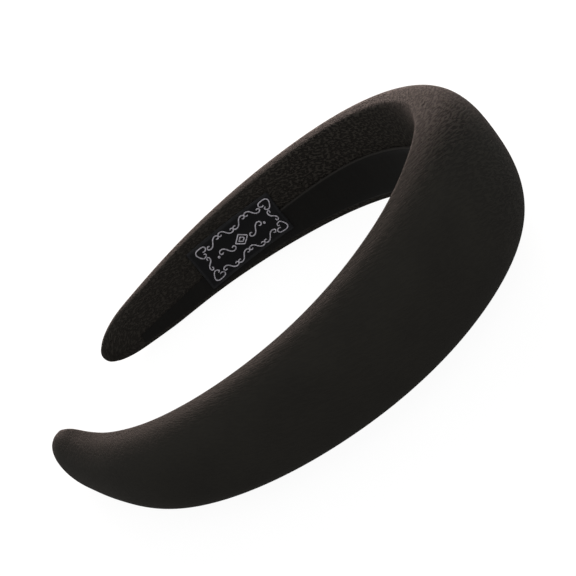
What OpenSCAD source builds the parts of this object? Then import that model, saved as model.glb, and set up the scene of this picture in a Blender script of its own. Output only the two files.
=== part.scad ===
// Padded headband: a foam-padded, cloth-covered U that lies on its side on a flat surface.
// X runs across the legs, +Y is the crown's side, +Z is up, and Z = 0 is the surface it lies on.

/* [Band] */
// Length of the inner face from tip to tip, along its middle
inner_length = 365; // [325:1:390]
// Angle that each leg turns through between the crown and its tip
leg_turn_angle = 133; // [105:1:138]
// Share by which the crown bends tighter than an even arc
crown_tightness = 0.46; // [0:0.01:0.6]
// Share by which the shoulders bend tighter than the crown and the tips
shoulder_tightness = 0.35; // [0:0.01:0.4]
// Extra angle that each tip curls inwards
tip_curl_angle = 27; // [0:1:32]
// Length of leg that the curl takes
curl_length = 24; // [10:1:38]

/* [Padding] */
// Width of the band at the crown
crown_width = 41.5; // [33:0.5:50]
// Width of the band at its tips
tip_width = 10.5; // [8.5:0.5:18]
// Thickness of the padding at the crown
crown_thickness = 17.5; // [10:0.5:22]
// Thickness of the padding at its tips
tip_thickness = 7; // [5:0.5:10]
// Length of the rounded end of each tip
tip_rounding = 8; // [4:0.5:12]
// Height of the widest line of the padding, as a share of its thickness
widest_at = 0.25; // [0.15:0.01:0.5]

/* [Inner flap] */
// Thickness of the folded cloth that laps over the inner face
flap_thickness = 1; // [0.6:0.1:2]
// Height of the lap's folded edge above the middle of the crown
lap_rise = 3.8; // [1:0.2:8]
// Length at each tip that the flap leaves bare
flap_setback = 12; // [8:1:36]

/* [Label] */
// Length of the woven label, along the leg
label_length = 33; // [20:0.5:42]
// Width of the woven label
label_width = 14.5; // [8:0.5:16]
// Thickness of the woven label with its turned edges
label_thickness = 1; // [0.5:0.1:1.5]
// Distance from the crown to the label's middle, along the inner face
label_place = 125; // [60:0.5:130]
// Distance of the label's middle below the middle of the inner face
label_drop = 0.8; // [-1:0.1:1.5]

/* [Hidden] */

// Gap between two layers of cloth
cloth_gap = 0.3;
half_length = inner_length / 2;

// Shares of the way from the crown (1) to the tips (0), set by hand
// [way along the leg, width, thickness, lap height as a share of lap_rise]
way_column = 0;
width_column = 1;
thickness_column = 2;
lap_column = 3;
leg_table = [
    [0.00, 1.00, 1.00,  1.00],
    [0.20, 0.88, 1.10,  0.95],
    [0.40, 0.68, 1.12,  0.70],
    [0.60, 0.50, 1.02,  0.05],
    [0.75, 0.32, 0.64, -0.35],
    [0.90, 0.16, 0.32, -0.55],
    [1.00, 0.00, 0.00, -0.60],
];

// Fullness of the padding: 1 is round, less is squarer
side_fullness = 0.63;
dome_fullness = 0.69;
inner_fullness = 0.7;
// Bluntness of the tips: 2 is round, more is flatter at the end
tip_bluntness = 2.6;
// Share of its section that the last ring of a tip keeps
last_share = 0.05;

section_points = 32;
leg_stations = 40;
tip_stations = 8;
path_step = 1;

// Value of one column of the leg table, on a smooth curve through its rows
function rise(col, i, j) =
    (leg_table[j][col] - leg_table[i][col]) / (leg_table[j][way_column] - leg_table[i][way_column]);
function slope(col, i) =
    i == 0 ? 0 :
    i == len(leg_table) - 1 ? rise(col, i - 1, i) :
    rise(col, i - 1, i + 1);
function row_before(way) =
    max([for (i = [0 : len(leg_table) - 2]) if (leg_table[i][way_column] <= way) i]);
function share(col, way) =
    let (
        i = row_before(way),
        span = leg_table[i + 1][way_column] - leg_table[i][way_column],
        f = (way - leg_table[i][way_column]) / span
    )
    leg_table[i][col] * (1 + 2 * f) * (1 - f) * (1 - f)
        + leg_table[i + 1][col] * f * f * (3 - 2 * f)
        + slope(col, i) * span * f * (1 - f) * (1 - f)
        - slope(col, i + 1) * span * f * f * (1 - f);

// Sizes of the section at a distance from the crown
function width_at(s) = tip_width + (crown_width - tip_width) * share(width_column, s / half_length);
function thickness_at(s) =
    tip_thickness + (crown_thickness - tip_thickness) * share(thickness_column, s / half_length);
function lap_at(s) = lap_rise * share(lap_column, s / half_length);
function tip_share(s) =
    let (r = max(0, (s - half_length + tip_rounding) / tip_rounding))
    last_share + (1 - last_share) * pow(max(0, 1 - pow(r, tip_bluntness)), 1 / tip_bluntness);

// Middle line of the inner face: its heading, and its points from the crown to a tip
function heading(s) =
    let (way = s / half_length, curl = max(0, (s - half_length + curl_length) / curl_length))
    leg_turn_angle * (
        way + crown_tightness * sin(180 * way) / PI - shoulder_tightness * sin(360 * way) / (2 * PI)
    ) + tip_curl_angle * curl * curl;
path_count = ceil(half_length / path_step);
step = half_length / path_count;
path = [
    for (i = 0, p = [0, 0]; i <= path_count;
        p = p + step * [cos(heading((i + 0.5) * step)), -sin(heading((i + 0.5) * step))], i = i + 1) p
];
function middle(s) =
    let (k = min(floor(s / step), path_count - 1), f = s / step - k)
    path[k] * (1 - f) + path[k + 1] * f;

// A point at a signed distance along the band, out from the inner face, and across the width
function place(s, out, across) =
    let (m = middle(abs(s)), h = heading(abs(s)))
    [(s < 0 ? -1 : 1) * (m.x + out * sin(h)), m.y + out * cos(h), across];

// Section of the padding, as pairs of out and across
function section(s) =
    let (
        w = width_at(s) / 2,
        t = thickness_at(s),
        h = widest_at * t,
        k = tip_share(s)
    )
    [
        for (i = [0 : section_points - 1])
            let (
                a = 360 * i / section_points,
                across = w * sign(cos(a)) * pow(abs(cos(a)), side_fullness),
                out = sin(a) >= 0
                    ? h + (t - h) * pow(sin(a), dome_fullness)
                    : h - h * pow(-sin(a), inner_fullness)
            )
            [t / 2 + (out - t / 2) * k, across * k]
    ];

// Out from the middle line to the inner face, at a distance across the width
function inner_face(s, across) =
    let (c = min(1, pow(abs(across) / (width_at(s) / 2), 1 / side_fullness)))
    widest_at * thickness_at(s) * (1 - pow(sqrt(1 - c * c), inner_fullness));

// Distances from the crown to a tip, closer together round the tip
leg_stops = [
    for (i = [0 : leg_stations]) (half_length - tip_rounding) * i / leg_stations,
    for (i = [1 : tip_stations]) half_length - tip_rounding + tip_rounding * sin(90 * i / tip_stations),
];
stops = [
    for (i = [len(leg_stops) - 1 : -1 : 1]) -leg_stops[i],
    for (s = leg_stops) s,
];
band_rings = [for (s = stops) [for (q = section(abs(s))) place(s, q.x, q.y)]];

// Skin of triangles over rings of equally many points, closed at both ends by a ladder of pairs
module skin(rings) {
    n = len(rings[0]);
    last = len(rings) - 1;
    sides = [
        for (i = [0 : last - 1], j = [0 : n - 1])
            let (a = i * n + j, b = i * n + (j + 1) % n)
            each [[a, b, b + n], [a, b + n, a + n]]
    ];
    far = last * n;
    ends = [
        for (j = [0 : n / 2 - 2])
            let (a = j, b = j + 1, c = n - 2 - j, d = n - 1 - j)
            each [[a, c, b], [a, d, c], [far + a, far + b, far + c], [far + a, far + c, far + d]]
    ];
    polyhedron([for (ring = rings) each ring], concat(sides, ends), convexity = 8);
}

// How the band lies on its side: the line under its lowest edge that carries its balance point
low_edge = [
    for (s = leg_stops)
        let (low = place(s, widest_at * thickness_at(s), -width_at(s) / 2 * tip_share(s)))
        [low.y, low.z]
];
weights = [for (s = leg_stops) s > half_length - tip_rounding ? 0 : width_at(s) * thickness_at(s)];
ones = [for (w = weights) 1];
balance = weights * [for (s = leg_stops) middle(s).y] / (weights * ones);
carriers = [
    for (a = low_edge, b = low_edge)
        if (a.x >= balance && b.x < balance)
            [
                a.y + (b.y - a.y) * (a.x - balance) / (a.x - b.x),
                atan2(b.y - a.y, a.x - b.x),
            ]
];
lowest_line = min([for (c = carriers) c[0]]);
lie_tilt = [for (c = carriers) if (c[0] == lowest_line) c[1]][0];

function tilted_y(p) = p.y * cos(lie_tilt) - p.z * sin(lie_tilt);
function tilted_z(p) = p.y * sin(lie_tilt) + p.z * cos(lie_tilt);
ring_ys = [for (ring = band_rings, p = ring) tilted_y(p)];
ring_zs = [for (ring = band_rings, p = ring) tilted_z(p)];

module lying() {
    translate([0, -(min(ring_ys) + max(ring_ys)) / 2, -min(ring_zs)])
        rotate([lie_tilt, 0, 0])
            children();
}

module padded_band() {
    color([0.13, 0.12, 0.11])
        lying()
            skin(band_rings);
}

// The flap covers the inner face from its lower side up to the folded edge
flap_stops = [for (s = stops) if (abs(s) < half_length - flap_setback) s];
flap_columns = 10;
// Share of the half width that the flap reaches down to
flap_reach_share = 0.86;

function flap_ring(s) =
    let (
        d = abs(s),
        low = -flap_reach_share * width_at(d) / 2,
        rows = [for (i = [0 : flap_columns]) lap_at(d) - (lap_at(d) - low) * i / flap_columns]
    )
    [
        for (z = rows) place(s, inner_face(d, z) - cloth_gap, z),
        for (i = [flap_columns : -1 : 0])
            place(s, inner_face(d, rows[i]) - cloth_gap - flap_thickness, rows[i]),
    ];

module inner_flap() {
    color([0.10, 0.10, 0.10])
        lying()
            skin([for (s = flap_stops) flap_ring(s)]);
}

// The label lies over the flap's edge and follows the inner face on either side of it
label_rows = 12;
label_columns = 24;
label_column = label_width / label_columns;
// Length over which the label comes down from the lap
label_ramp = 2.5;

function under_label(d, z) =
    let (f = max(0, min(1, (z - lap_at(d) - cloth_gap - label_column) / label_ramp)))
    inner_face(d, z) - cloth_gap - (flap_thickness + cloth_gap) * (1 - f * f * (3 - 2 * f));

function label_ring(d) =
    let (zs = [for (i = [0 : label_columns]) label_width / 2 - label_column * i - label_drop])
    [
        for (z = zs) place(-d, under_label(d, z), z),
        for (i = [label_columns : -1 : 0]) place(-d, under_label(d, zs[i]) - label_thickness, zs[i]),
    ];

module woven_label() {
    color([0.07, 0.07, 0.08])
        lying()
            skin([
                for (i = [0 : label_rows])
                    label_ring(label_place + label_length * (0.5 - i / label_rows))
            ]);
}

padded_band();
inner_flap();
woven_label();
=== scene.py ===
import bmesh
import bpy
import math
import numpy as np
from mathutils import Matrix, Vector


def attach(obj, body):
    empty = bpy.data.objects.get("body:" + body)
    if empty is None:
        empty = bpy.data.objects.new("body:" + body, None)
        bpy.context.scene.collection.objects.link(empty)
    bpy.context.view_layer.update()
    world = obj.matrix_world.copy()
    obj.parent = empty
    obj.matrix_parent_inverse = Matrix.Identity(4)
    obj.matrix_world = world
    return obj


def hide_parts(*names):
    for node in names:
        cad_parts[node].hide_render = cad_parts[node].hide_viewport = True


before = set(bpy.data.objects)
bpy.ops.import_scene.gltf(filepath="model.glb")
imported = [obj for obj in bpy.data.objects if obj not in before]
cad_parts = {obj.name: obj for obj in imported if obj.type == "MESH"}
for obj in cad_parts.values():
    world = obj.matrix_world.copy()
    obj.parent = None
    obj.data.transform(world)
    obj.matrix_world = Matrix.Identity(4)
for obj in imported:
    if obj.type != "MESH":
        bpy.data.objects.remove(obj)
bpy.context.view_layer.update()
mm = 0.001
print("frame loaded")

# the band's own curve and section, in mm: as in the solid, but rounder at the edges, as filled cloth is
bandShape = {
    "innerLength": 366,                            # inner face, tip to tip
    "legTurn": 133,                                # degrees from the crown to a tip
    "crownTightness": 0.46, "shoulderTightness": 0.368,
    "tipCurl": 29.6, "curlLength": 24,             # extra degrees at each tip, over the last so many mm
    "crownWidth": 42, "tipWidth": 10.5,
    "crownThickness": 17.6, "tipThickness": 8.1,
    "tipRounding": 13.0, "tipBluntness": 2.3,
    "endShare": 0.05,                              # what the last ring keeps of its section
    "widestAt": 0.22,                              # share of the thickness
    "sideFullness": 0.78, "domeFullness": 0.8, "innerFullness": 0.7,
    "tipWidestAt": 0.42, "tipFullness": 0.97,      # what these become by the tips
    "rounderFrom": 26, "rounderBy": 8,             # mm from the end, where they do
    "lapRise": 3.8, "lapDrop": 0.9,
    # way to the tip, width, thickness and lap, as shares
    "shares": [
        (0.00, 1.00, 1.00, 1.00),
        (0.20, 0.90, 1.09, 0.95),
        (0.40, 0.68, 1.22, 0.70),
        (0.60, 0.50, 1.10, 0.05),
        (0.75, 0.36, 0.64, -0.35),
        (0.90, 0.19, 0.30, -0.55),
        (1.00, 0.00, 0.00, -0.60),
    ],
    # how a hand-covered band strays from that, in mm: from the crown, outer face, upper edge, lower edge
    "strayNear": [(0, 0.8, -0.1, 0.45), (35, 0.1, -0.8, 0.8), (70, 0.0, -0.8, 0.8), (105, 1.1, -1.1, 0.5),
                  (140, 0.4, -1.4, 0.0), (152, 0.0, -0.6, 0.1), (158, 0.0, 0.1, 0.1), (164, 0.0, 1.2, 0.2),
                  (170, 0.0, 1.1, 0.3), (176, -0.1, 0.2, 0.3), (183, -0.2, -1.8, 0.0)],
    "strayFar": [(0, 0.8, -0.1, 0.45), (35, -0.4, -0.6, 0.1), (70, 0.1, -0.2, 0.6), (105, 0.1, -1.0, 0.8),
                 (140, 0.0, -0.6, 0.3), (165, 0.0, -0.8, 0.7), (183, -0.1, -0.1, 0.7)],
    # how it lies on its side
    "lieTilt": 5.6765,
    "lieForward": 58.475,
    "lieLift": 21.08,
}
halfLength = bandShape["innerLength"] / 2


def throughTable(rows, column, at):   # smooth curve through one column of a short table
    rows = np.array(rows, float)
    way, value = rows[:, 0], rows[:, column]
    slope = np.zeros(len(way))
    slope[1:-1] = (value[2:] - value[:-2]) / (way[2:] - way[:-2])
    slope[-1] = (value[-1] - value[-2]) / (way[-1] - way[-2])
    at = np.clip(at, way[0], way[-1])
    i = np.clip(np.searchsorted(way, at, side="right") - 1, 0, len(way) - 2)
    span = way[i + 1] - way[i]
    f = (at - way[i]) / span
    return (value[i] * (1 + 2 * f) * (1 - f) ** 2 + value[i + 1] * f * f * (3 - 2 * f)
            + slope[i] * span * f * (1 - f) ** 2 - slope[i + 1] * span * f * f * (1 - f))


def smoothStep(x, start, end):
    f = np.clip((x - start) / (end - start), 0, 1)
    return f * f * (3 - 2 * f)


def crownToTip(s, size, column):
    crown, tip = bandShape["crown" + size], bandShape["tip" + size]
    return tip + (crown - tip) * throughTable(bandShape["shares"], column, np.abs(s) / halfLength)


def widthAt(s):
    return crownToTip(s, "Width", 1)


def thicknessAt(s):
    return crownToTip(s, "Thickness", 2)


def lapAt(s):
    b = bandShape
    return b["lapRise"] * throughTable(b["shares"], 3, np.abs(s) / halfLength) - b["lapDrop"]


def strayAt(column, s):   # the near leg is at positive s
    near, far = (throughTable(bandShape[leg], column, np.abs(s)) for leg in ("strayNear", "strayFar"))
    return np.where(s > 0, near, far)


def headingAt(s):
    b = bandShape
    way = np.abs(s) / halfLength
    curl = np.clip((np.abs(s) - halfLength + b["curlLength"]) / b["curlLength"], 0, None)
    turn = (way + b["crownTightness"] * np.sin(np.pi * way) / np.pi
            - b["shoulderTightness"] * np.sin(2 * np.pi * way) / (2 * np.pi))
    return np.radians(b["legTurn"] * turn + b["tipCurl"] * curl * curl)


pathSteps = 732       # a quarter of a millimetre each
pathStep = halfLength / pathSteps
pathMiddles = headingAt((np.arange(pathSteps) + 0.5) * pathStep)
pathX = np.concatenate([[0], np.cumsum(np.cos(pathMiddles))]) * pathStep
pathY = np.concatenate([[0], np.cumsum(-np.sin(pathMiddles))]) * pathStep


# points of the lying band, in metres: s along it, out from the inner face, across its width
def place(s, out, across):
    s, out, across = np.broadcast_arrays(np.asarray(s, float), out, across)
    d = np.abs(s)
    h = headingAt(d)
    past = np.clip(d - halfLength, 0, None)
    stops = np.arange(pathSteps + 1) * pathStep
    x = np.where(s < 0, -1, 1) * (np.interp(d, stops, pathX) + past * np.cos(h) + out * np.sin(h))
    y = np.interp(d, stops, pathY) - past * np.sin(h) + out * np.cos(h)
    t = math.radians(bandShape["lieTilt"])
    return np.stack([x, y * math.cos(t) - across * math.sin(t) + bandShape["lieForward"],
                     y * math.sin(t) + across * math.cos(t) + bandShape["lieLift"]], -1) * mm


def byTheTip(s, usual, atTip):
    b = bandShape
    way = smoothStep(np.abs(s), halfLength - b["rounderFrom"], halfLength - b["rounderBy"])
    return usual + (atTip - usual) * way


def fullAt(s, name):
    return byTheTip(s, bandShape[name], bandShape["tipFullness"])


def widestAt(s):
    return byTheTip(s, bandShape["widestAt"], bandShape["tipWidestAt"])


def halfWidth(s, across):
    return widthAt(s) / 2 + np.where(across > 0, strayAt(2, s), strayAt(3, s))


def innerFace(s, across):
    c = np.clip(np.abs(across) / halfWidth(s, across), 0, 1) ** (1 / fullAt(s, "sideFullness"))
    return widestAt(s) * thicknessAt(s) * (1 - np.sqrt(1 - c * c) ** fullAt(s, "innerFullness"))


def linear(hexColour):   # sRGB hex to the linear colour that the shaders take
    parts = [int(hexColour[i:i + 2], 16) / 255 for i in (1, 3, 5)]
    return tuple(p / 12.92 if p <= 0.04045 else ((p + 0.055) / 1.055) ** 2.4 for p in parts) + (1.0,)


# one node with its settings; i0, i1 are sockets by number, other names are sockets by name
def addNode(tree, kind, settings=None, **links):
    node = tree.nodes.new(kind)
    for key, value in (settings or {}).items():
        setattr(node, key, value)
    for key, value in links.items():
        socket = node.inputs[int(key[1:]) if key[1:].isdigit() else key.replace("_", " ")]
        if isinstance(value, bpy.types.NodeSocket):
            tree.links.new(value, socket)
        else:
            socket.default_value = value
    return node


# settings that many nodes share
smooth = {"interpolation_type": "SMOOTHSTEP"}
largest = {"operation": "MAXIMUM"}
product = {"operation": "MULTIPLY"}
inColour = {"data_type": "RGBA"}


def newMaterial(name):
    material = bpy.data.materials.new(name)
    material.use_nodes = True
    tree = material.node_tree
    tree.nodes.clear()
    output = tree.nodes.new("ShaderNodeOutputMaterial")
    return material, tree, output


# a piece from points and faces; "cloth" keeps where each point is on the flat cloth, in metres
def newPiece(name, vertices, faces, flat):
    mesh = bpy.data.meshes.new(name)
    mesh.from_pydata(np.asarray(vertices).tolist(), [], faces)
    layer = mesh.attributes.new("cloth", "FLOAT_VECTOR", "POINT")
    layer.data.foreach_set("vector", np.asarray(flat, np.float32).ravel())
    mesh.polygons.foreach_set("use_smooth", [True] * len(mesh.polygons))
    shape = bmesh.new()
    shape.from_mesh(mesh)
    bmesh.ops.recalc_face_normals(shape, faces=shape.faces[:])
    shape.to_mesh(mesh)
    shape.free()
    mesh.update()
    piece = bpy.data.objects.new(name, mesh)
    bpy.context.scene.collection.objects.link(piece)
    return piece


# faces over rings of points, with a fan or a ladder of pairs at each end
def pieceFromRings(name, points, coords, fans):
    rows, columns = points.shape[:2]
    vertices, flat = points.reshape(-1, 3), coords.reshape(-1, 3)
    i = np.arange(rows - 1)[:, None]
    j = np.arange(columns)[None, :]
    k = (j + 1) % columns
    quads = np.stack([i * columns + j, (i + 1) * columns + j, (i + 1) * columns + k, i * columns + k], -1)
    faces = quads.reshape(-1, 4).tolist()
    last = (rows - 1) * columns
    if fans:
        middle = len(vertices)
        vertices = np.concatenate([vertices, [points[0].mean(0)], [points[-1].mean(0)]])
        flat = np.concatenate([flat, [coords[0].mean(0)], [coords[-1].mean(0)]])
        for c in range(columns):
            d = (c + 1) % columns
            faces.append((middle, c, d))
            faces.append((middle + 1, last + d, last + c))
    else:
        for c in range(columns // 2 - 1):
            p, q = columns - 2 - c, columns - 1 - c
            faces.append((c, c + 1, p, q))
            faces.append((last + c, last + q, last + p, last + c + 1))
    return newPiece(name, vertices, faces, flat)


def finerLine(values, times, closed):   # B-spline through rows of values
    if closed:
        before, base, after, after2 = (np.roll(values, k, 0) for k in (1, 0, -1, -2))
    else:
        longer = np.concatenate([[2 * values[0] - values[1]], values, [2 * values[-1] - values[-2]]])
        before, base, after, after2 = longer[:-3], longer[1:-2], longer[2:-1], longer[3:]
    parts = []
    for f in np.arange(times) / times:
        parts.append(((1 - f) ** 3 * before + (3 * f ** 3 - 6 * f * f + 4) * base
                      + (-3 * f ** 3 + 3 * f * f + 3 * f + 1) * after + f ** 3 * after2) / 6)
    fine = np.stack(parts, 1).reshape((-1,) + values.shape[1:])
    return fine if closed else np.concatenate([fine, [values[-1]]])


def finer(grid, times):
    along = finerLine(grid, times, False)
    return np.swapaxes(finerLine(np.swapaxes(along, 0, 1), times, True), 0, 1)


# camera at the photograph's angle
cameraView = {
    "aim": (-0.738, 2.803, 15.062),   # mm
    "azimuth": 116.007, "elevation": 22.779, "roll": -33.495,
    "distance": 538.05,               # mm
    "lens": 116.069,                  # on a 36 mm sensor
}


def makeCamera():
    c = cameraView
    a, e = math.radians(c["azimuth"]), math.radians(c["elevation"])
    back = Vector((math.sin(a) * math.cos(e), -math.cos(a) * math.cos(e), math.sin(e)))
    right = Vector((0, 0, 1)).cross(back).normalized()
    up = back.cross(right)
    turned = Matrix((right, up, back)).transposed() @ Matrix.Rotation(math.radians(c["roll"]), 3, "Z")
    data = bpy.data.cameras.new("camera")
    data.lens, data.sensor_width = c["lens"], 36
    data.clip_start, data.clip_end = 0.01, 20
    camera = bpy.data.objects.new("camera", data)
    at = Vector(c["aim"]) * mm + back * c["distance"] * mm
    camera.matrix_world = Matrix.Translation(at) @ turned.to_4x4()
    bpy.context.scene.collection.objects.link(camera)
    bpy.context.scene.camera = camera


makeCamera()
print("camera set")

# crepe cover, blown up over the padding and glued to the hoop inside
cover = {
    "stationsPerLeg": 58, "tipStations": 9, "around": 42,      # before refining
    "finer": 4,
    "seamAngle": 240,                     # degrees round to where the cloth's edges meet, under the flap
    "slack": 0.45,                        # mm that the cloth starts inside its filled shape
    "fullSlackWidth": 24, "leastSlack": 0.35,      # mm; a narrower band has less of it, down to this share
    "slackSides": (-0.3, 0.2),            # sine of the angle round, over which it sets in
    "gluedInside": (0.1, 0.45),           # the same on the inner face, where the cloth sits on the hoop
    "gluedTips": (6, 3),                  # mm from the end, over which the glue sets in
    "pressure": 80, "frames": 20, "simScale": 12,      # simulated at so many times its size
    "mass": 0.05, "stretch": 8, "shear": 4, "bend": 0.6, "quality": 6,
    "mostSwell": 1.15,                    # cap on the swelling, as a share of the way to the filled shape
    "endFold": (2.0, 0.5, 0.07),          # crease where the cloth turns in: mm from the end, half wide, deep
    "foldWaver": 0.35,                    # mm
    "gathers": (0.06, 5.5),               # mm high at the very tip, mm over which they fade
    "gatherCounts": (7, 11, 16), "gatherTwist": 0.06,      # how many round, radians a mm
    "gathersFrom": (0.3, 2),              # mm from the end
    "unevenness": 0.1, "unevenLengths": (9, 24), "unevenFrom": (1, 12),      # mm
    "seed": 7,
}


def coverStations():
    c, b = cover, bandShape
    legs = (halfLength - b["tipRounding"]) * np.arange(c["stationsPerLeg"] + 1) / c["stationsPerLeg"]
    quarter = np.pi / 2 * np.arange(1, c["tipStations"] + 1) / c["tipStations"]      # closer by the end
    tips = halfLength - b["tipRounding"] * (1 - np.sin(quarter))
    one = np.concatenate([legs, tips])
    return np.concatenate([-one[:0:-1], one])


# out and across of the padding, drawn in by so many mm except where it is glued
def coverSection(s, angle, inset):
    b, c = bandShape, cover
    t = thicknessAt(s)
    h = widestAt(s) * t
    sine, cosine = np.sin(angle), np.cos(angle)
    drawIn = inset * np.clip(widthAt(s) / c["fullSlackWidth"], c["leastSlack"], 1)
    drawIn = drawIn * smoothStep(sine, *c["slackSides"])
    across = (halfWidth(s, cosine) - drawIn) * np.sign(cosine) * np.abs(cosine) ** fullAt(s, "sideFullness")
    dome = h + (t + strayAt(1, s) - drawIn - h) * np.abs(sine) ** fullAt(s, "domeFullness")
    under = h - h * np.abs(sine) ** fullAt(s, "innerFullness")
    out = np.where(sine >= 0, dome, under)
    r = np.clip((np.abs(s) - halfLength + b["tipRounding"]) / b["tipRounding"], 0, 1)
    k = b["endShare"] + (1 - b["endShare"]) * (1 - r ** b["tipBluntness"]) ** (1 / b["tipBluntness"])
    return t / 2 + (out - t / 2) * k, across * k


# the points after the cloth is blown up, none further than the cap allows
def inflate(points, filled, glued):
    c = cover
    scale = c["simScale"]
    piece = pieceFromRings("coverCloth", points * scale, np.zeros_like(points), True)
    group = piece.vertex_groups.new(name="glued")
    for i, w in enumerate(np.concatenate([glued.ravel(), [1, 1]])):
        if w > 0.001:      # the rest is free
            group.add([i], float(w), "REPLACE")
    cloth = piece.modifiers.new("cloth", "CLOTH")
    s = cloth.settings
    s.quality = c["quality"]
    s.mass = c["mass"]
    s.tension_stiffness = s.compression_stiffness = c["stretch"]
    s.shear_stiffness = c["shear"]
    s.bending_stiffness = c["bend"]
    s.use_pressure = True
    s.uniform_pressure_force = c["pressure"]
    s.vertex_group_mass = "glued"
    s.effector_weights.gravity = 0
    cloth.point_cache.frame_start, cloth.point_cache.frame_end = 1, c["frames"]
    for f in range(1, c["frames"] + 1):
        bpy.context.scene.frame_set(f)
    settled = piece.evaluated_get(bpy.context.evaluated_depsgraph_get())
    found = np.zeros(len(settled.data.vertices) * 3)
    settled.data.vertices.foreach_get("co", found)
    found = found.reshape(-1, 3)[:points.shape[0] * points.shape[1]].reshape(points.shape) / scale
    bpy.context.scene.frame_set(1)
    bpy.data.objects.remove(piece)
    move = found - points
    size = np.linalg.norm(move, axis=-1, keepdims=True)
    print("cloth moved, mm: mean %.2f, most %.2f" % (size.mean() / mm, size.max() / mm))
    room = c["mostSwell"] * np.linalg.norm(filled - points, axis=-1, keepdims=True)
    return points + move * np.minimum(1, room / np.maximum(size, 1e-9))


def outward(points):   # which way each point of a closed grid faces
    along = np.gradient(points, axis=0)
    around = np.roll(points, -1, 1) - np.roll(points, 1, 1)
    n = np.cross(along, around)
    return n / np.maximum(np.linalg.norm(n, axis=-1, keepdims=True), 1e-12)


# crease where the cloth turns in at the ends, gathers by the tips, and a little unevenness
def sewnRelief(s, angle):
    c = cover
    rng = np.random.default_rng(c["seed"])
    fromEnd = halfLength - np.abs(s)
    anyPhase = (0, 6.3)
    foldAt, foldWide, foldDeep = c["endFold"]
    foldLine = foldAt + c["foldWaver"] * np.sin(angle * 2 + 1)
    relief = -foldDeep * np.exp(-((fromEnd - foldLine) / foldWide) ** 2)
    high, fade = c["gathers"]
    folds = sum(np.cos(k * angle + rng.uniform(*anyPhase) + c["gatherTwist"] * s)
                for k in c["gatherCounts"]) / 2
    fading = np.exp(-np.clip(fromEnd - foldAt, 0, None) / fade)
    relief = relief + high * folds * fading * smoothStep(fromEnd, *c["gathersFrom"])
    for k in range(5):
        wave = np.sin(s / rng.uniform(*c["unevenLengths"]) + rng.integers(1, 4) * angle
                      + rng.uniform(*anyPhase))
        relief = relief + c["unevenness"] / 2 * wave * smoothStep(fromEnd, *c["unevenFrom"])
    return relief


def makeCover():
    c = cover
    angles = 2 * np.pi * np.arange(c["around"]) / c["around"]
    s, a = np.meshgrid(coverStations(), angles, indexing="ij")
    filled = place(s, *coverSection(s, a, 0.0))
    inside = smoothStep(-np.sin(a), *c["gluedInside"])
    tips = smoothStep(np.abs(s), *(halfLength - edge for edge in c["gluedTips"]))
    glued = np.maximum(inside, tips)
    filled = inflate(place(s, *coverSection(s, a, c["slack"])), filled, glued)
    fine = finer(filled, c["finer"])
    columns = fine.shape[1]
    fineS = finerLine(s[:, :1], c["finer"], False)
    fineA = 2 * np.pi * np.arange(columns)[None, :] / columns
    # where each point is on the flat cloth: along it, and round from the middle of the outer face
    seam = int(c["seamAngle"] / 360 * columns)
    edges = np.roll(np.linalg.norm(np.roll(fine, -1, 1) - fine, axis=-1), -seam, 1)
    around = np.roll(np.cumsum(edges, 1) - edges, seam, 1)
    around = around - around[:, columns // 4][:, None]
    wayRound = np.abs((fineA / np.pi + 0.5) % 2 - 1)         # 0 outside, 1 inside
    cloth = np.stack([np.broadcast_to(fineS * mm, around.shape), around,
                      np.broadcast_to(wayRound * mm, around.shape)], -1)
    fine = fine + outward(fine) * sewnRelief(fineS, fineA)[..., None] * mm
    return pieceFromRings("padded_cover", fine, cloth, True)


coverPiece = makeCover()
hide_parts("padded_band")
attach(coverPiece, "root")
print("cover made,", len(coverPiece.data.polygons), "faces")

# flap of the same crepe, turned in along its upper edge and lapped over the inner face
flap = {
    "setback": 12, "gap": 0.1,           # mm from the tips, and off the cover
    "reach": 0.86,                       # share of the half width
    "thickness": 0.3, "foldThickness": 0.85, "foldWidth": 1.5,      # mm
    "foldRound": 0.8,                    # how far the fold stands up, as a share of its radius
    "pressed": 0.8, "pressFrom": 100, "pressBy": 145,      # the fold's pressing: share, mm from the crown
    "thinsOver": (-0.8, 2.5),            # mm above the lower edge
    "paintedHighlightFades": (112, 140),             # mm from the crown, by the label, over which the painted highlight on the folded edge fades out
    # waver of the folded edge: mm high, mm along for a long and a short wave, and how high the short one is
    "waver": 0.16, "waverLengths": (17.0, 7.3), "shortShare": 0.6,
    "cutAt": 60,                         # mm up the cloth, so that its grain isn't the cover's
    # how finely it is divided, and how much closer together by the fold
    "along": 400, "across": 34, "fold": 10, "closer": 1.5,
}


def flapLap(s):
    long, short = flap["waverLengths"]
    return lapAt(s) + flap["waver"] * (np.sin(s / long + 1.1) + flap["shortShare"] * np.sin(s / short))


def flapDepth(s, below):   # thick at the fold, thinner under it
    f = flap
    left = 1 - f["pressed"] * smoothStep(np.abs(s), f["pressFrom"], f["pressBy"])
    fold = (f["foldThickness"] - f["thickness"]) * np.exp(-(below / f["foldWidth"]) ** 2)
    return left * (f["thickness"] + fold)


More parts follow.
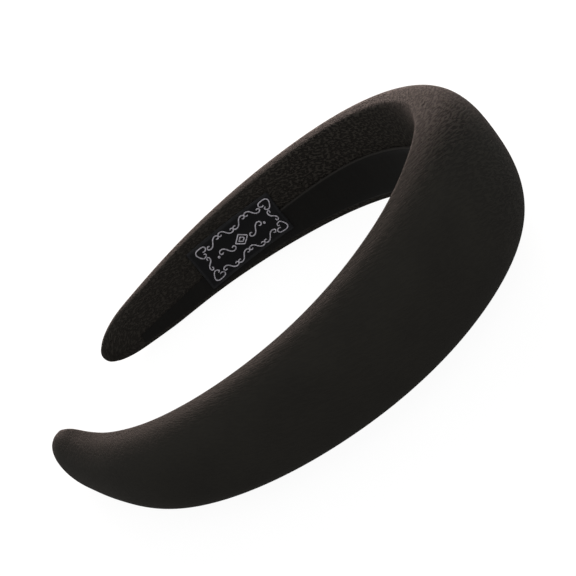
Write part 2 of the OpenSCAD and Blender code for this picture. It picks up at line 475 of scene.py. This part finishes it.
def makeFlap():
    f = flap
    end = halfLength - f["setback"]
    s = np.linspace(-end, end, f["along"] + 1)[:, None]
    low = -f["reach"] * widthAt(s) / 2
    top = flapLap(s)
    v = 1 - (1 - np.linspace(0, 1, f["across"] + 1)[None, :]) ** f["closer"]
    z = low + (top - low) * v
    depth = flapDepth(s, top - z) * smoothStep(z - low, *f["thinsOver"])
    face = innerFace(s, z) - f["gap"]
    turn = np.linspace(0, np.pi, f["fold"] + 2)[None, 1:-1]
    r = depth[:, -1:] / 2
    foldZ = top + f["foldRound"] * r * np.sin(turn)
    foldOut = innerFace(s, top) - f["gap"] - r - r * np.cos(turn)
    outs = np.concatenate([face - depth, foldOut, face[:, ::-1]], 1)
    zs = np.concatenate([z, foldZ, z[:, ::-1]], 1)
    ss = np.broadcast_to(s, zs.shape)
    up = zs - top - smoothStep(np.abs(ss), *f["paintedHighlightFades"])      # mm up from the folded edge, pushed down by the label so that the painted highlight fades there
    coords = np.stack([ss * mm, (zs + f["cutAt"]) * mm, up * mm], -1)
    return pieceFromRings("lapped_flap", place(ss, outs, zs), coords, False)


flapPiece = makeFlap()
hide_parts("inner_flap")
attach(flapPiece, "root")
print("flap made,", len(flapPiece.data.polygons), "faces")

# woven label, its ends turned in, glued over the lap
label = {
    "length": 33, "width": 14.5,
    "place": 126.7, "drop": 0.6,            # mm from the crown, and under the middle of the inner face
    "thickness": 0.5, "gap": 0.08,
    "rampFrom": 0.3, "ramp": 3.0,           # mm above the folded edge, where it comes down to the cover
    "selvedge": (0.55, 0.07),               # mm wide and high, along both long edges
    "selvedgeSpread": 0.6,                  # how softly it falls off, as a share of its width
    "endRidge": (0.8, 0.5, 0.05),           # mm from the ends, half wide and high, where they are turned in
    "endFold": 0.3, "endShare": 0.35,       # mm over which the ends thin, and to what share
    "unevenness": 0.03,                     # mm, in waves of 8 mm along it and 13 mm across
    "along": 88, "across": 44, "edge": 6,      # how finely it is divided
}


def labelUnder(d, z):   # out from the inner face's middle line to the label's back
    edge = flapLap(-d)
    rampFrom = edge + label["rampFrom"]
    f = smoothStep(z, rampFrom, rampFrom + label["ramp"])
    step = label["gap"] + flap["gap"] + flapDepth(-d, np.clip(edge - z, 0, None)) * (1 - f)
    return innerFace(-d, z) - step


def labelRelief(u, v):   # mm that the face stands out: selvedges, and the soft rounding of the turned ends
    n = label
    wide, high = n["selvedge"]
    ridgeAt, ridgeWide, ridgeHigh = n["endRidge"]
    toEdge = n["width"] / 2 - np.abs(v)
    toEnd = n["length"] / 2 - np.abs(u)
    return (high * np.exp(-((toEdge - wide) / (n["selvedgeSpread"] * wide)) ** 2)
            + ridgeHigh * np.exp(-((toEnd - ridgeAt) / ridgeWide) ** 2)
            + n["unevenness"] * np.sin(u * 0.8 + 1) * np.sin(v * 0.5))


# u along the label towards the crown, v up across it, both in mm from its middle
def onLabel(u, v, lift):
    d = label["place"] - np.asarray(u, float)
    z = np.asarray(v, float) - label["drop"]
    return place(-d, labelUnder(d, z) - label["thickness"] - labelRelief(u, v) - lift, z)


def makeLabel():
    n = label
    u = np.linspace(-n["length"] / 2, n["length"] / 2, n["along"] + 1)[:, None]
    half = n["width"] / 2
    v = np.linspace(-half, half, n["across"] + 1)[None, :]
    turn = np.linspace(0, np.pi, n["edge"])[None, 1:-1]
    endRound = np.clip((n["length"] / 2 - np.abs(u)) / n["endFold"], 0, 1)      # the ends' soft fold
    thick = n["thickness"] * (n["endShare"] + (1 - n["endShare"]) * np.sqrt(1 - (1 - endRound) ** 2))
    r = thick / 2
    front = thick + labelRelief(u, v)
    vs = np.concatenate([np.broadcast_to(v, front.shape), half + r * np.sin(turn),
                         np.broadcast_to(v[:, ::-1], front.shape), -half - r * np.sin(turn)], 1)
    out = np.concatenate([front, r + r * np.cos(turn), np.zeros_like(front), r - r * np.cos(turn)], 1)
    d = n["place"] - u
    under = labelUnder(d, np.clip(vs, -half, half) - n["drop"])
    shift = turn.shape[1] // 2      # rings start at the middle of an edge, so that pairs close the ends
    points = np.roll(place(-d, under - out, vs - n["drop"]), shift, 1)
    coords = np.roll(np.stack([np.broadcast_to(u, vs.shape) * mm, vs * mm, out * mm], -1), shift, 1)
    return pieceFromRings("label_cloth", points, coords, False)


labelPiece = makeLabel()
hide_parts("woven_label")
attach(labelPiece, "root")
print("label made,", len(labelPiece.data.polygons), "faces")

# raised thread: a running scroll border, and a lozenge between two scrolls in the middle; sizes in mm
ornament = {
    "thread": 0.42, "height": 0.14, "sunk": 0.04,
    "step": 0.14, "roundThread": 6,               # how finely it is divided, along and round
    "taper": 0.35, "tip": 0.3,                    # mm over which an end thins, and the share it starts at
    "turns": 1.85, "lean": 62,                    # how far every scroll curls, and degrees it is turned
    "repeats": 4, "pitch": 5.33, "fill": 0.98,    # along each side; a scroll fills that share of the pitch
    "sideHeight": 2.5, "sideV": 5.0,
    "upright": (2.0, 4.3), "shortU": 12.9, "shortV": 0.2,      # at the ends
    "corner": [(-12.5, 4.75), (-11.77, 4.52), (-10.95, 5.1), (-11.33, 6.0), (-12.83, 6.25), (-14.1, 6.1),
               (-14.72, 5.32), (-14.4, 4.08), (-13.5, 2.85), (-12.5, 2.9), (-12.05, 3.55), (-12.67, 4.0)],
    "lozenge": (2.4, 1.9), "innerLozenge": (1.1, 0.85),
    "scroll": (5.4, 2.9), "scrollU": 5.7, "dotU": 9.3, "dot": 0.28,
    "shiftU": 0.7,                                # towards the crown, as woven labels are seldom cut true
}


def scrollCurve():   # an S that curls up at both ends: its bend grows evenly from the middle
    turns, lean = ornament["turns"], math.radians(ornament["lean"])
    fine = np.linspace(0, turns, 400)
    bend = np.pi / 2 * fine ** 2
    x = np.concatenate([[0], np.cumsum((np.cos(bend[1:]) + np.cos(bend[:-1])) / 2)])
    y = np.concatenate([[0], np.cumsum((np.sin(bend[1:]) + np.sin(bend[:-1])) / 2)])
    t = np.linspace(-turns, turns, 60)
    px, py = np.sign(t) * np.interp(np.abs(t), fine, x), -np.sign(t) * np.interp(np.abs(t), fine, y)
    turned = np.stack([math.cos(lean) * px - math.sin(lean) * py,
                       math.sin(lean) * px + math.cos(lean) * py], 1)
    low, high = turned.min(0), turned.max(0)
    return (turned - (low + high) / 2) / (high - low)


def smoothLine(points, times=8):   # rounded line through a short list of points
    p = np.array(points, float)
    q = np.concatenate([[2 * p[0] - p[1]], p, [2 * p[-1] - p[-2]]])
    line = []
    for a, b, c, d in zip(q[:-3], q[1:-2], q[2:-1], q[3:]):
        for f in np.arange(times) / times:
            line.append(0.5 * (2 * b + (c - a) * f + (2 * a - 5 * b + 4 * c - d) * f * f
                               + (3 * b - a - 3 * c + d) * f ** 3))
    return np.array(line + [p[-1]])


def ornamentLines():
    o = ornament
    lines = []
    s = scrollCurve()
    for k in range(o["repeats"]):
        flip = 1 if k % 2 == 0 else -1
        unit = s * [o["pitch"] * o["fill"] * flip, o["sideHeight"]]
        middle = (k - (o["repeats"] - 1) / 2) * o["pitch"]
        lines.append(unit + [middle, o["sideV"]])
        lines.append(unit * [1, -1] + [middle, -o["sideV"]])
    upright = s[:, ::-1] * o["upright"]
    corner = smoothLine(o["corner"])
    ring = np.linspace(0, 2 * np.pi, 9)
    for x in (1, -1):
        lines.append(upright * [x, 1] + [-x * o["shortU"], o["shortV"]])
        lines.append(s * [x * o["scroll"][0], o["scroll"][1]] + [x * o["scrollU"], 0])
        lines.append(np.stack([x * o["dotU"] + o["dot"] * np.cos(ring), o["dot"] * np.sin(ring)], 1))
        for y in (1, -1):
            lines.append(corner * [x, y])
    for u, v in (o["lozenge"], o["innerLozenge"]):
        lines.append(np.array([(u, 0), (0, v), (-u, 0), (0, -v), (u, 0)], float))
    return lines


def makeThread():
    o = ornament
    vertices, faces, coords = [], [], []
    around = np.linspace(0, np.pi, o["roundThread"])
    m = len(around)
    for line in ornamentLines():
        steps = np.concatenate([[0], np.cumsum(np.linalg.norm(np.diff(line, axis=0), axis=1))])
        count = max(6, int(steps[-1] / o["step"]))
        at = np.linspace(0, steps[-1], count)
        line = np.stack([np.interp(at, steps, line[:, 0]), np.interp(at, steps, line[:, 1])], 1)
        ahead = np.gradient(line, axis=0)
        ahead /= np.linalg.norm(ahead, axis=1, keepdims=True)
        side = np.stack([-ahead[:, 1], ahead[:, 0]], 1)
        taper = np.clip(np.minimum(at, steps[-1] - at) / o["taper"], o["tip"], 1) ** 0.5
        first = len(vertices)
        for i in range(count):
            for a in around:
                u, v = line[i] + side[i] * math.cos(a) * o["thread"] / 2 * taper[i] + (o["shiftU"], 0)
                vertices.append(onLabel(u, v, o["height"] * math.sin(a) * taper[i] - o["sunk"]))
                coords.append((u * mm, v * mm, at[i] * mm))
        for i in range(count - 1):
            for j in range(m):
                k = (j + 1) % m
                row = first + i * m
                faces.append((row + j, row + k, row + m + k, row + m + j))
        faces.append(tuple(first + j for j in range(m))[::-1])
        faces.append(tuple(first + (count - 1) * m + j for j in range(m)))
    return newPiece("label_thread", vertices, faces, coords)


threadPiece = makeThread()
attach(threadPiece, "root")
print("ornament made,", len(threadPiece.data.polygons), "faces")

# polyester crepe: high-twist yarn crinkles the cloth, so rims catch the light in short broken dashes; the
# wrinkles carry painted shade and painted highlight too
crepe = {
    "dark": "#1d1c1a", "light": "#22211e",        # pulled tight
    "paintedValleyShade": "#0e0d0c", "paintedCrestHighlight": "#322f2b",      # slack: painted shade between the wrinkles, painted highlight on them
    "roughness": 0.85, "specular": 0.03,
    "sheen": "#8f7f74", "sheenWeight": 0.03, "sheenRoughness": 0.3,
    "crownWrinkle": (2.4, 0.66), "tipWrinkle": (1.3, 0.5),      # mm long, and half of the way to the next
    "bias": -25.0,                                # degrees that they run off the band's length
    "wander": 3.03, "wanderBy": 0.5,              # mm from bend to bend, and mm that they push the wrinkles
    "crisp": (0.45, 0.54),                        # noise that makes a valley, and a crest
    "wrinkleDepth": 1.6,                          # mm
    "turns": (50, 130),                           # mm from the crown, over which the one turns into the other
    # as shares of the way round from the outer face to the inner one
    "slackRound": (0.24, 0.46), "insideRound": (0.5, 0.7),
    "tightDepth": 0.15,                           # share of the depth that is left where it is tight
    # the slack reaches further out at one place: mm along the band, mm over which it fades, and how much
    "looseAt": -22, "looseFades": (12, 40), "looser": 0.1,
    # shares of the contrast lost by the tips, in the hollow, and on the leg that is pulled tighter
    "tipCalm": 0.7, "insideCalm": 0.45, "legCalm": 0.85,
    "legFrom": (-12, 30), "legTo": (115, 150),    # mm along the band, where that leg's calm sets in and ends
    "patch": 16,                                  # mm, slow change of tone
    "grainInTone": 0.3, "toneSpread": (0.4, 0.9),
}


def makeCrepe():
    c = crepe
    material, tree, output = newMaterial("black polyester crepe")
    cloth = addNode(tree, "ShaderNodeAttribute", {"attribute_name": "cloth"}).outputs["Vector"]
    parts = addNode(tree, "ShaderNodeSeparateXYZ", Vector=cloth)
    wander = addNode(tree, "ShaderNodeTexNoise", Vector=cloth, Scale=1000 / c["wander"], Detail=1.0)
    pushed = addNode(tree, "ShaderNodeVectorMath", {"operation": "MULTIPLY_ADD"}, i0=wander.outputs["Color"],
                     i1=(c["wanderBy"] * mm, c["wanderBy"] * mm, 0), i2=cloth)
    grains = []
    for long, apart in (c["crownWrinkle"], c["tipWrinkle"]):
        mapped = addNode(tree, "ShaderNodeMapping", {"vector_type": "TEXTURE"}, Vector=pushed.outputs[0],
                         Rotation=(0, 0, math.radians(c["bias"])), Scale=(long * mm, apart * mm, 1))
        grains.append(addNode(tree, "ShaderNodeTexNoise", Vector=mapped.outputs[0], Scale=1.0, Detail=1.0))
    # long wrinkles by the crown, short ones by the tips and in the hollow
    fromCrown = addNode(tree, "ShaderNodeMath", {"operation": "ABSOLUTE"}, i0=parts.outputs["X"])
    turned = addNode(tree, "ShaderNodeMapRange", smooth, i0=fromCrown.outputs[0], i1=c["turns"][0] * mm,
                     i2=c["turns"][1] * mm)
    inside = addNode(tree, "ShaderNodeMapRange", smooth, i0=parts.outputs["Z"], i1=c["insideRound"][0] * mm,
                     i2=c["insideRound"][1] * mm)
    short = addNode(tree, "ShaderNodeMath", largest, i0=turned.outputs[0], i1=inside.outputs[0])
    mixed = addNode(tree, "ShaderNodeMix", i0=short.outputs[0], i2=grains[0].outputs["Fac"],
                    i3=grains[1].outputs["Fac"])
    crisp = addNode(tree, "ShaderNodeMapRange", smooth, i0=mixed.outputs[0], i1=c["crisp"][0],
                    i2=c["crisp"][1])
    # calmer in three places: drawn towards a middle grey there
    legStart, legEnd = (addNode(tree, "ShaderNodeMapRange", smooth, i0=parts.outputs["X"], i1=span[0] * mm,
                                i2=span[1] * mm) for span in (c["legFrom"], c["legTo"]))
    onLeg = addNode(tree, "ShaderNodeMath", {"operation": "SUBTRACT"}, i0=legStart.outputs[0],
                    i1=legEnd.outputs[0])
    places = ((turned, c["tipCalm"]), (onLeg, c["legCalm"]), (inside, c["insideCalm"]))
    tipCalm, legCalm, insideCalm = (addNode(tree, "ShaderNodeMath", product, i0=there.outputs[0], i1=share)
                                    for there, share in places)
    calmer = addNode(tree, "ShaderNodeMath", largest, i0=tipCalm.outputs[0], i1=legCalm.outputs[0])
    calm = addNode(tree, "ShaderNodeMath", largest, i0=calmer.outputs[0], i1=insideCalm.outputs[0])
    grain = addNode(tree, "ShaderNodeMix", i0=calm.outputs[0], i2=crisp.outputs[0], i3=0.5)
    patches = addNode(tree, "ShaderNodeTexNoise", Vector=cloth, Scale=1000 / c["patch"], Detail=3.0)
    tone = addNode(tree, "ShaderNodeMath", {"operation": "MULTIPLY_ADD"}, i0=grain.outputs[0],
                   i1=c["grainInTone"], i2=patches.outputs["Fac"])
    spread = addNode(tree, "ShaderNodeMapRange", i0=tone.outputs[0], i1=c["toneSpread"][0],
                     i2=c["toneSpread"][1])
    # pulled tight over the outer face, slack towards the edges and inside
    fromLoose = addNode(tree, "ShaderNodeMath", {"operation": "SUBTRACT"}, i0=parts.outputs["X"],
                        i1=c["looseAt"] * mm)
    away = addNode(tree, "ShaderNodeMath", {"operation": "ABSOLUTE"}, i0=fromLoose.outputs[0])
    looser = addNode(tree, "ShaderNodeMapRange", smooth, i0=away.outputs[0], i1=c["looseFades"][0] * mm,
                     i2=c["looseFades"][1] * mm, i3=c["looser"] * mm, i4=0.0)
    wayRound = addNode(tree, "ShaderNodeMath", {"operation": "ADD"}, i0=parts.outputs["Z"],
                       i1=looser.outputs[0])
    slack = addNode(tree, "ShaderNodeMapRange", smooth, i0=wayRound.outputs[0], i1=c["slackRound"][0] * mm,
                    i2=c["slackRound"][1] * mm, i3=c["tightDepth"], i4=1.0)
    height = addNode(tree, "ShaderNodeMath", product, i0=grain.outputs[0], i1=slack.outputs[0])
    ground = addNode(tree, "ShaderNodeMix", inColour, i0=spread.outputs[0], i6=linear(c["dark"]),
                     i7=linear(c["light"]))
    # painted shade in the wrinkles' valleys, painted highlight on their crests
    paintedWrinkleShading = addNode(tree, "ShaderNodeMix", inColour, i0=grain.outputs[0], i6=linear(c["paintedValleyShade"]),
                       i7=linear(c["paintedCrestHighlight"]))
    colour = addNode(tree, "ShaderNodeMix", inColour, i0=slack.outputs[0], i6=ground.outputs[2],
                     i7=paintedWrinkleShading.outputs[2])
    bump = addNode(tree, "ShaderNodeBump", Distance=c["wrinkleDepth"] * mm, Height=height.outputs[0])
    shader = addNode(tree, "ShaderNodeBsdfPrincipled", Base_Color=colour.outputs[2], Roughness=c["roughness"],
                     Specular_IOR_Level=c["specular"], Sheen_Weight=c["sheenWeight"],
                     Sheen_Roughness=c["sheenRoughness"], Sheen_Tint=linear(c["sheen"]),
                     Normal=bump.outputs[0])
    tree.links.new(shader.outputs[0], output.inputs[0])
    return material


# the same crepe pulled flat and pressed: smoother and darker, with faint ribs down from the fold and a
# painted highlight along the folded edge
pulledCrepe = {
    "dark": "#0f0e0d", "light": "#141311", "paintedCrestHighlight": "#23211f",
    "roughness": 0.8, "specular": 0.08,
    "sheen": "#83827f", "sheenWeight": 0.15, "sheenRoughness": 0.3,
    "ribPitch": 1.6, "ribStretch": 8, "ribDepth": 0.05,      # mm apart, times as long, mm deep
    # mm; drawn coarse, as real yarns, about 0.2 mm apart, are too fine to show
    "grain": 0.5, "grainDepth": 0.06,
    "paintedHighlightFrom": -0.28, "paintedHighlightBy": -0.05,                    # mm up from the folded edge, over which the painted highlight sets in
}


def makePulledCrepe():
    c = pulledCrepe
    material, tree, output = newMaterial("black polyester crepe, pulled flat")
    cloth = addNode(tree, "ShaderNodeAttribute", {"attribute_name": "cloth"}).outputs["Vector"]
    parts = addNode(tree, "ShaderNodeSeparateXYZ", Vector=cloth)
    across = 1000 / c["ribPitch"]
    ribMap = addNode(tree, "ShaderNodeMapping", Vector=cloth, Scale=(across, across / c["ribStretch"], 0))
    ribs = addNode(tree, "ShaderNodeTexNoise", Vector=ribMap.outputs[0], Scale=1.0, Detail=1.0)
    grain = addNode(tree, "ShaderNodeTexNoise", Vector=cloth, Scale=1000 / c["grain"], Detail=1.0)
    ribBump = addNode(tree, "ShaderNodeBump", Distance=c["ribDepth"] * mm, Height=ribs.outputs["Fac"])
    bump = addNode(tree, "ShaderNodeBump", Distance=c["grainDepth"] * mm, Height=grain.outputs["Fac"],
                   Normal=ribBump.outputs[0])
    ground = addNode(tree, "ShaderNodeMix", inColour, i0=ribs.outputs["Fac"], i6=linear(c["dark"]),
                     i7=linear(c["light"]))
    # painted highlight along the folded edge, where the fold's top would catch the light
    paintedCrestHighlight = addNode(tree, "ShaderNodeMapRange", smooth, i0=parts.outputs["Z"], i1=c["paintedHighlightFrom"] * mm,
                    i2=c["paintedHighlightBy"] * mm)
    colour = addNode(tree, "ShaderNodeMix", inColour, i0=paintedCrestHighlight.outputs[0], i6=ground.outputs[2],
                     i7=linear(c["paintedCrestHighlight"]))
    shader = addNode(tree, "ShaderNodeBsdfPrincipled", Base_Color=colour.outputs[2], Roughness=c["roughness"],
                     Specular_IOR_Level=c["specular"], Sheen_Weight=c["sheenWeight"],
                     Sheen_Roughness=c["sheenRoughness"], Sheen_Tint=linear(c["sheen"]),
                     Normal=bump.outputs[0])
    tree.links.new(shader.outputs[0], output.inputs[0])
    return material


# polyester satin, woven: tight, near-black floats that run along the label, a shade lighter at its edges
satin = {
    "ground": "#121213", "edge": "#272728",
    "roughness": 0.65, "specular": 0.06,
    # mm; drawn coarse, as real floats, about 0.15 mm apart, are too fine to show
    "floatPitch": 0.5, "floatLength": 2.2, "floatDepth": 0.05,
    "edgeFrom": 1.1, "edgeBy": 0.2,        # mm in from the edges
}


def makeSatin():
    c = satin
    material, tree, output = newMaterial("woven polyester satin")
    cloth = addNode(tree, "ShaderNodeAttribute", {"attribute_name": "cloth"}).outputs["Vector"]
    parts = addNode(tree, "ShaderNodeSeparateXYZ", Vector=cloth)
    mapped = addNode(tree, "ShaderNodeMapping", Vector=cloth,
                     Scale=(1000 / c["floatLength"], 1000 / c["floatPitch"], 1))
    floats = addNode(tree, "ShaderNodeTexNoise", Vector=mapped.outputs[0], Scale=1.0, Detail=1.0)
    toEdges = []
    for axis, size in (("X", label["length"]), ("Y", label["width"])):
        away = addNode(tree, "ShaderNodeMath", {"operation": "ABSOLUTE"}, i0=parts.outputs[axis])
        toEdges.append(addNode(tree, "ShaderNodeMapRange", smooth, i0=away.outputs[0],
                               i1=(size / 2 - c["edgeFrom"]) * mm, i2=(size / 2 - c["edgeBy"]) * mm))
    nearEdge = addNode(tree, "ShaderNodeMath", largest, i0=toEdges[0].outputs[0], i1=toEdges[1].outputs[0])
    broken = addNode(tree, "ShaderNodeMath", product, i0=nearEdge.outputs[0], i1=floats.outputs["Fac"])
    colour = addNode(tree, "ShaderNodeMix", inColour, i0=broken.outputs[0], i6=linear(c["ground"]),
                     i7=linear(c["edge"]))
    bump = addNode(tree, "ShaderNodeBump", Distance=c["floatDepth"] * mm, Height=floats.outputs["Fac"])
    shader = addNode(tree, "ShaderNodeBsdfPrincipled", Base_Color=colour.outputs[2], Roughness=c["roughness"],
                     Specular_IOR_Level=c["specular"], Normal=bump.outputs[0])
    tree.links.new(shader.outputs[0], output.inputs[0])
    return material


# bright polyester weft, laid in short stitches side by side: a broken silver line
weft = {
    "dark": "#6f6c73", "light": "#b9b5bc",
    "roughness": 0.45, "specular": 0.4,
    # mm from one stitch to the next; drawn coarse, as the real ones, about 0.2 mm, are too fine to show
    "stitch": 0.42, "stitchDepth": 0.06,
    "uneven": 0.91,                           # mm from one change of tone to the next
    "stitchInTone": 0.35, "toneSpread": (0.35, 0.95),
}


def makeWeft():
    c = weft
    material, tree, output = newMaterial("silver polyester weft")
    cloth = addNode(tree, "ShaderNodeAttribute", {"attribute_name": "cloth"}).outputs["Vector"]
    parts = addNode(tree, "ShaderNodeSeparateXYZ", Vector=cloth)
    half = c["stitch"] * mm / 2
    stitches = addNode(tree, "ShaderNodeMath", {"operation": "PINGPONG"}, i0=parts.outputs["Z"], i1=half)
    height = addNode(tree, "ShaderNodeMapRange", i0=stitches.outputs[0], i1=0.0, i2=half)
    uneven = addNode(tree, "ShaderNodeTexNoise", Vector=cloth, Scale=1000 / c["uneven"], Detail=1.0)
    tone = addNode(tree, "ShaderNodeMath", {"operation": "MULTIPLY_ADD"}, i0=height.outputs[0],
                   i1=c["stitchInTone"], i2=uneven.outputs["Fac"])
    spread = addNode(tree, "ShaderNodeMapRange", i0=tone.outputs[0], i1=c["toneSpread"][0],
                     i2=c["toneSpread"][1])
    colour = addNode(tree, "ShaderNodeMix", inColour, i0=spread.outputs[0], i6=linear(c["dark"]),
                     i7=linear(c["light"]))
    bump = addNode(tree, "ShaderNodeBump", Distance=c["stitchDepth"] * mm, Height=height.outputs[0])
    shader = addNode(tree, "ShaderNodeBsdfPrincipled", Base_Color=colour.outputs[2], Roughness=c["roughness"],
                     Specular_IOR_Level=c["specular"], Normal=bump.outputs[0])
    tree.links.new(shader.outputs[0], output.inputs[0])
    return material


coverPiece.data.materials.append(makeCrepe())
flapPiece.data.materials.append(makePulledCrepe())
labelPiece.data.materials.append(makeSatin())
threadPiece.data.materials.append(makeWeft())
print("materials made")

# light table and one softbox
studio = {
    "floor": "#363636", "floorGlow": 0.95, "floorRoughness": 0.9, "floorSize": 6.0,
    "above": 1.0, "below": 0.55,      # how bright the surroundings are over and under the horizon
    "horizon": (-0.3, 0.1),           # slope of the view, over which the one turns into the other
    # low and behind, so that it grazes the rims
    "softbox": {"size": 1.1, "watts": 41.0, "colour": "#ffe3d9",
                "at": (-1.2, -0.5, 0.2), "aim": (0, 0, 0.02)},
}


def makeStudio():
    c = studio
    half = c["floorSize"] / 2
    corners = [(-half, -half, 0), (half, -half, 0), (half, half, 0), (-half, half, 0)]
    mesh = bpy.data.meshes.new("floor")
    mesh.from_pydata(corners, [], [(0, 1, 2, 3)])
    floor = bpy.data.objects.new("floor", mesh)
    bpy.context.scene.collection.objects.link(floor)
    material, tree, output = newMaterial("opal acrylic, lit from below")      # an even white with no edge
    shader = addNode(tree, "ShaderNodeBsdfPrincipled", Base_Color=linear(c["floor"]),
                     Roughness=c["floorRoughness"], Emission_Color=(1, 1, 1, 1),
                     Emission_Strength=c["floorGlow"])
    tree.links.new(shader.outputs[0], output.inputs[0])
    mesh.materials.append(material)
    floor.visible_diffuse = floor.visible_glossy = floor.visible_shadow = False      # no glow on the cloth
    world = bpy.data.worlds.new("studio")
    world.use_nodes = True
    sky = world.node_tree
    background = sky.nodes["Background"]
    background.inputs["Color"].default_value = (1, 1, 1, 1)
    around = addNode(sky, "ShaderNodeTexCoord")
    way = addNode(sky, "ShaderNodeSeparateXYZ", Vector=around.outputs["Generated"])
    glow = addNode(sky, "ShaderNodeMapRange", i0=way.outputs["Z"], i1=c["horizon"][0], i2=c["horizon"][1],
                   i3=c["below"], i4=c["above"])
    sky.links.new(glow.outputs[0], background.inputs["Strength"])
    bpy.context.scene.world = world
    bpy.context.scene.view_settings.view_transform = "Standard"
    box = c["softbox"]
    data = bpy.data.lights.new("softbox", "AREA")
    data.shape = "DISK"
    data.size, data.energy, data.color = box["size"], box["watts"], linear(box["colour"])[:3]
    lamp = bpy.data.objects.new("softbox", data)
    lamp.location = box["at"]
    lamp.rotation_euler = (Vector(box["aim"]) - Vector(box["at"])).to_track_quat("-Z", "Y").to_euler()
    bpy.context.scene.collection.objects.link(lamp)


makeStudio()
print("studio made")
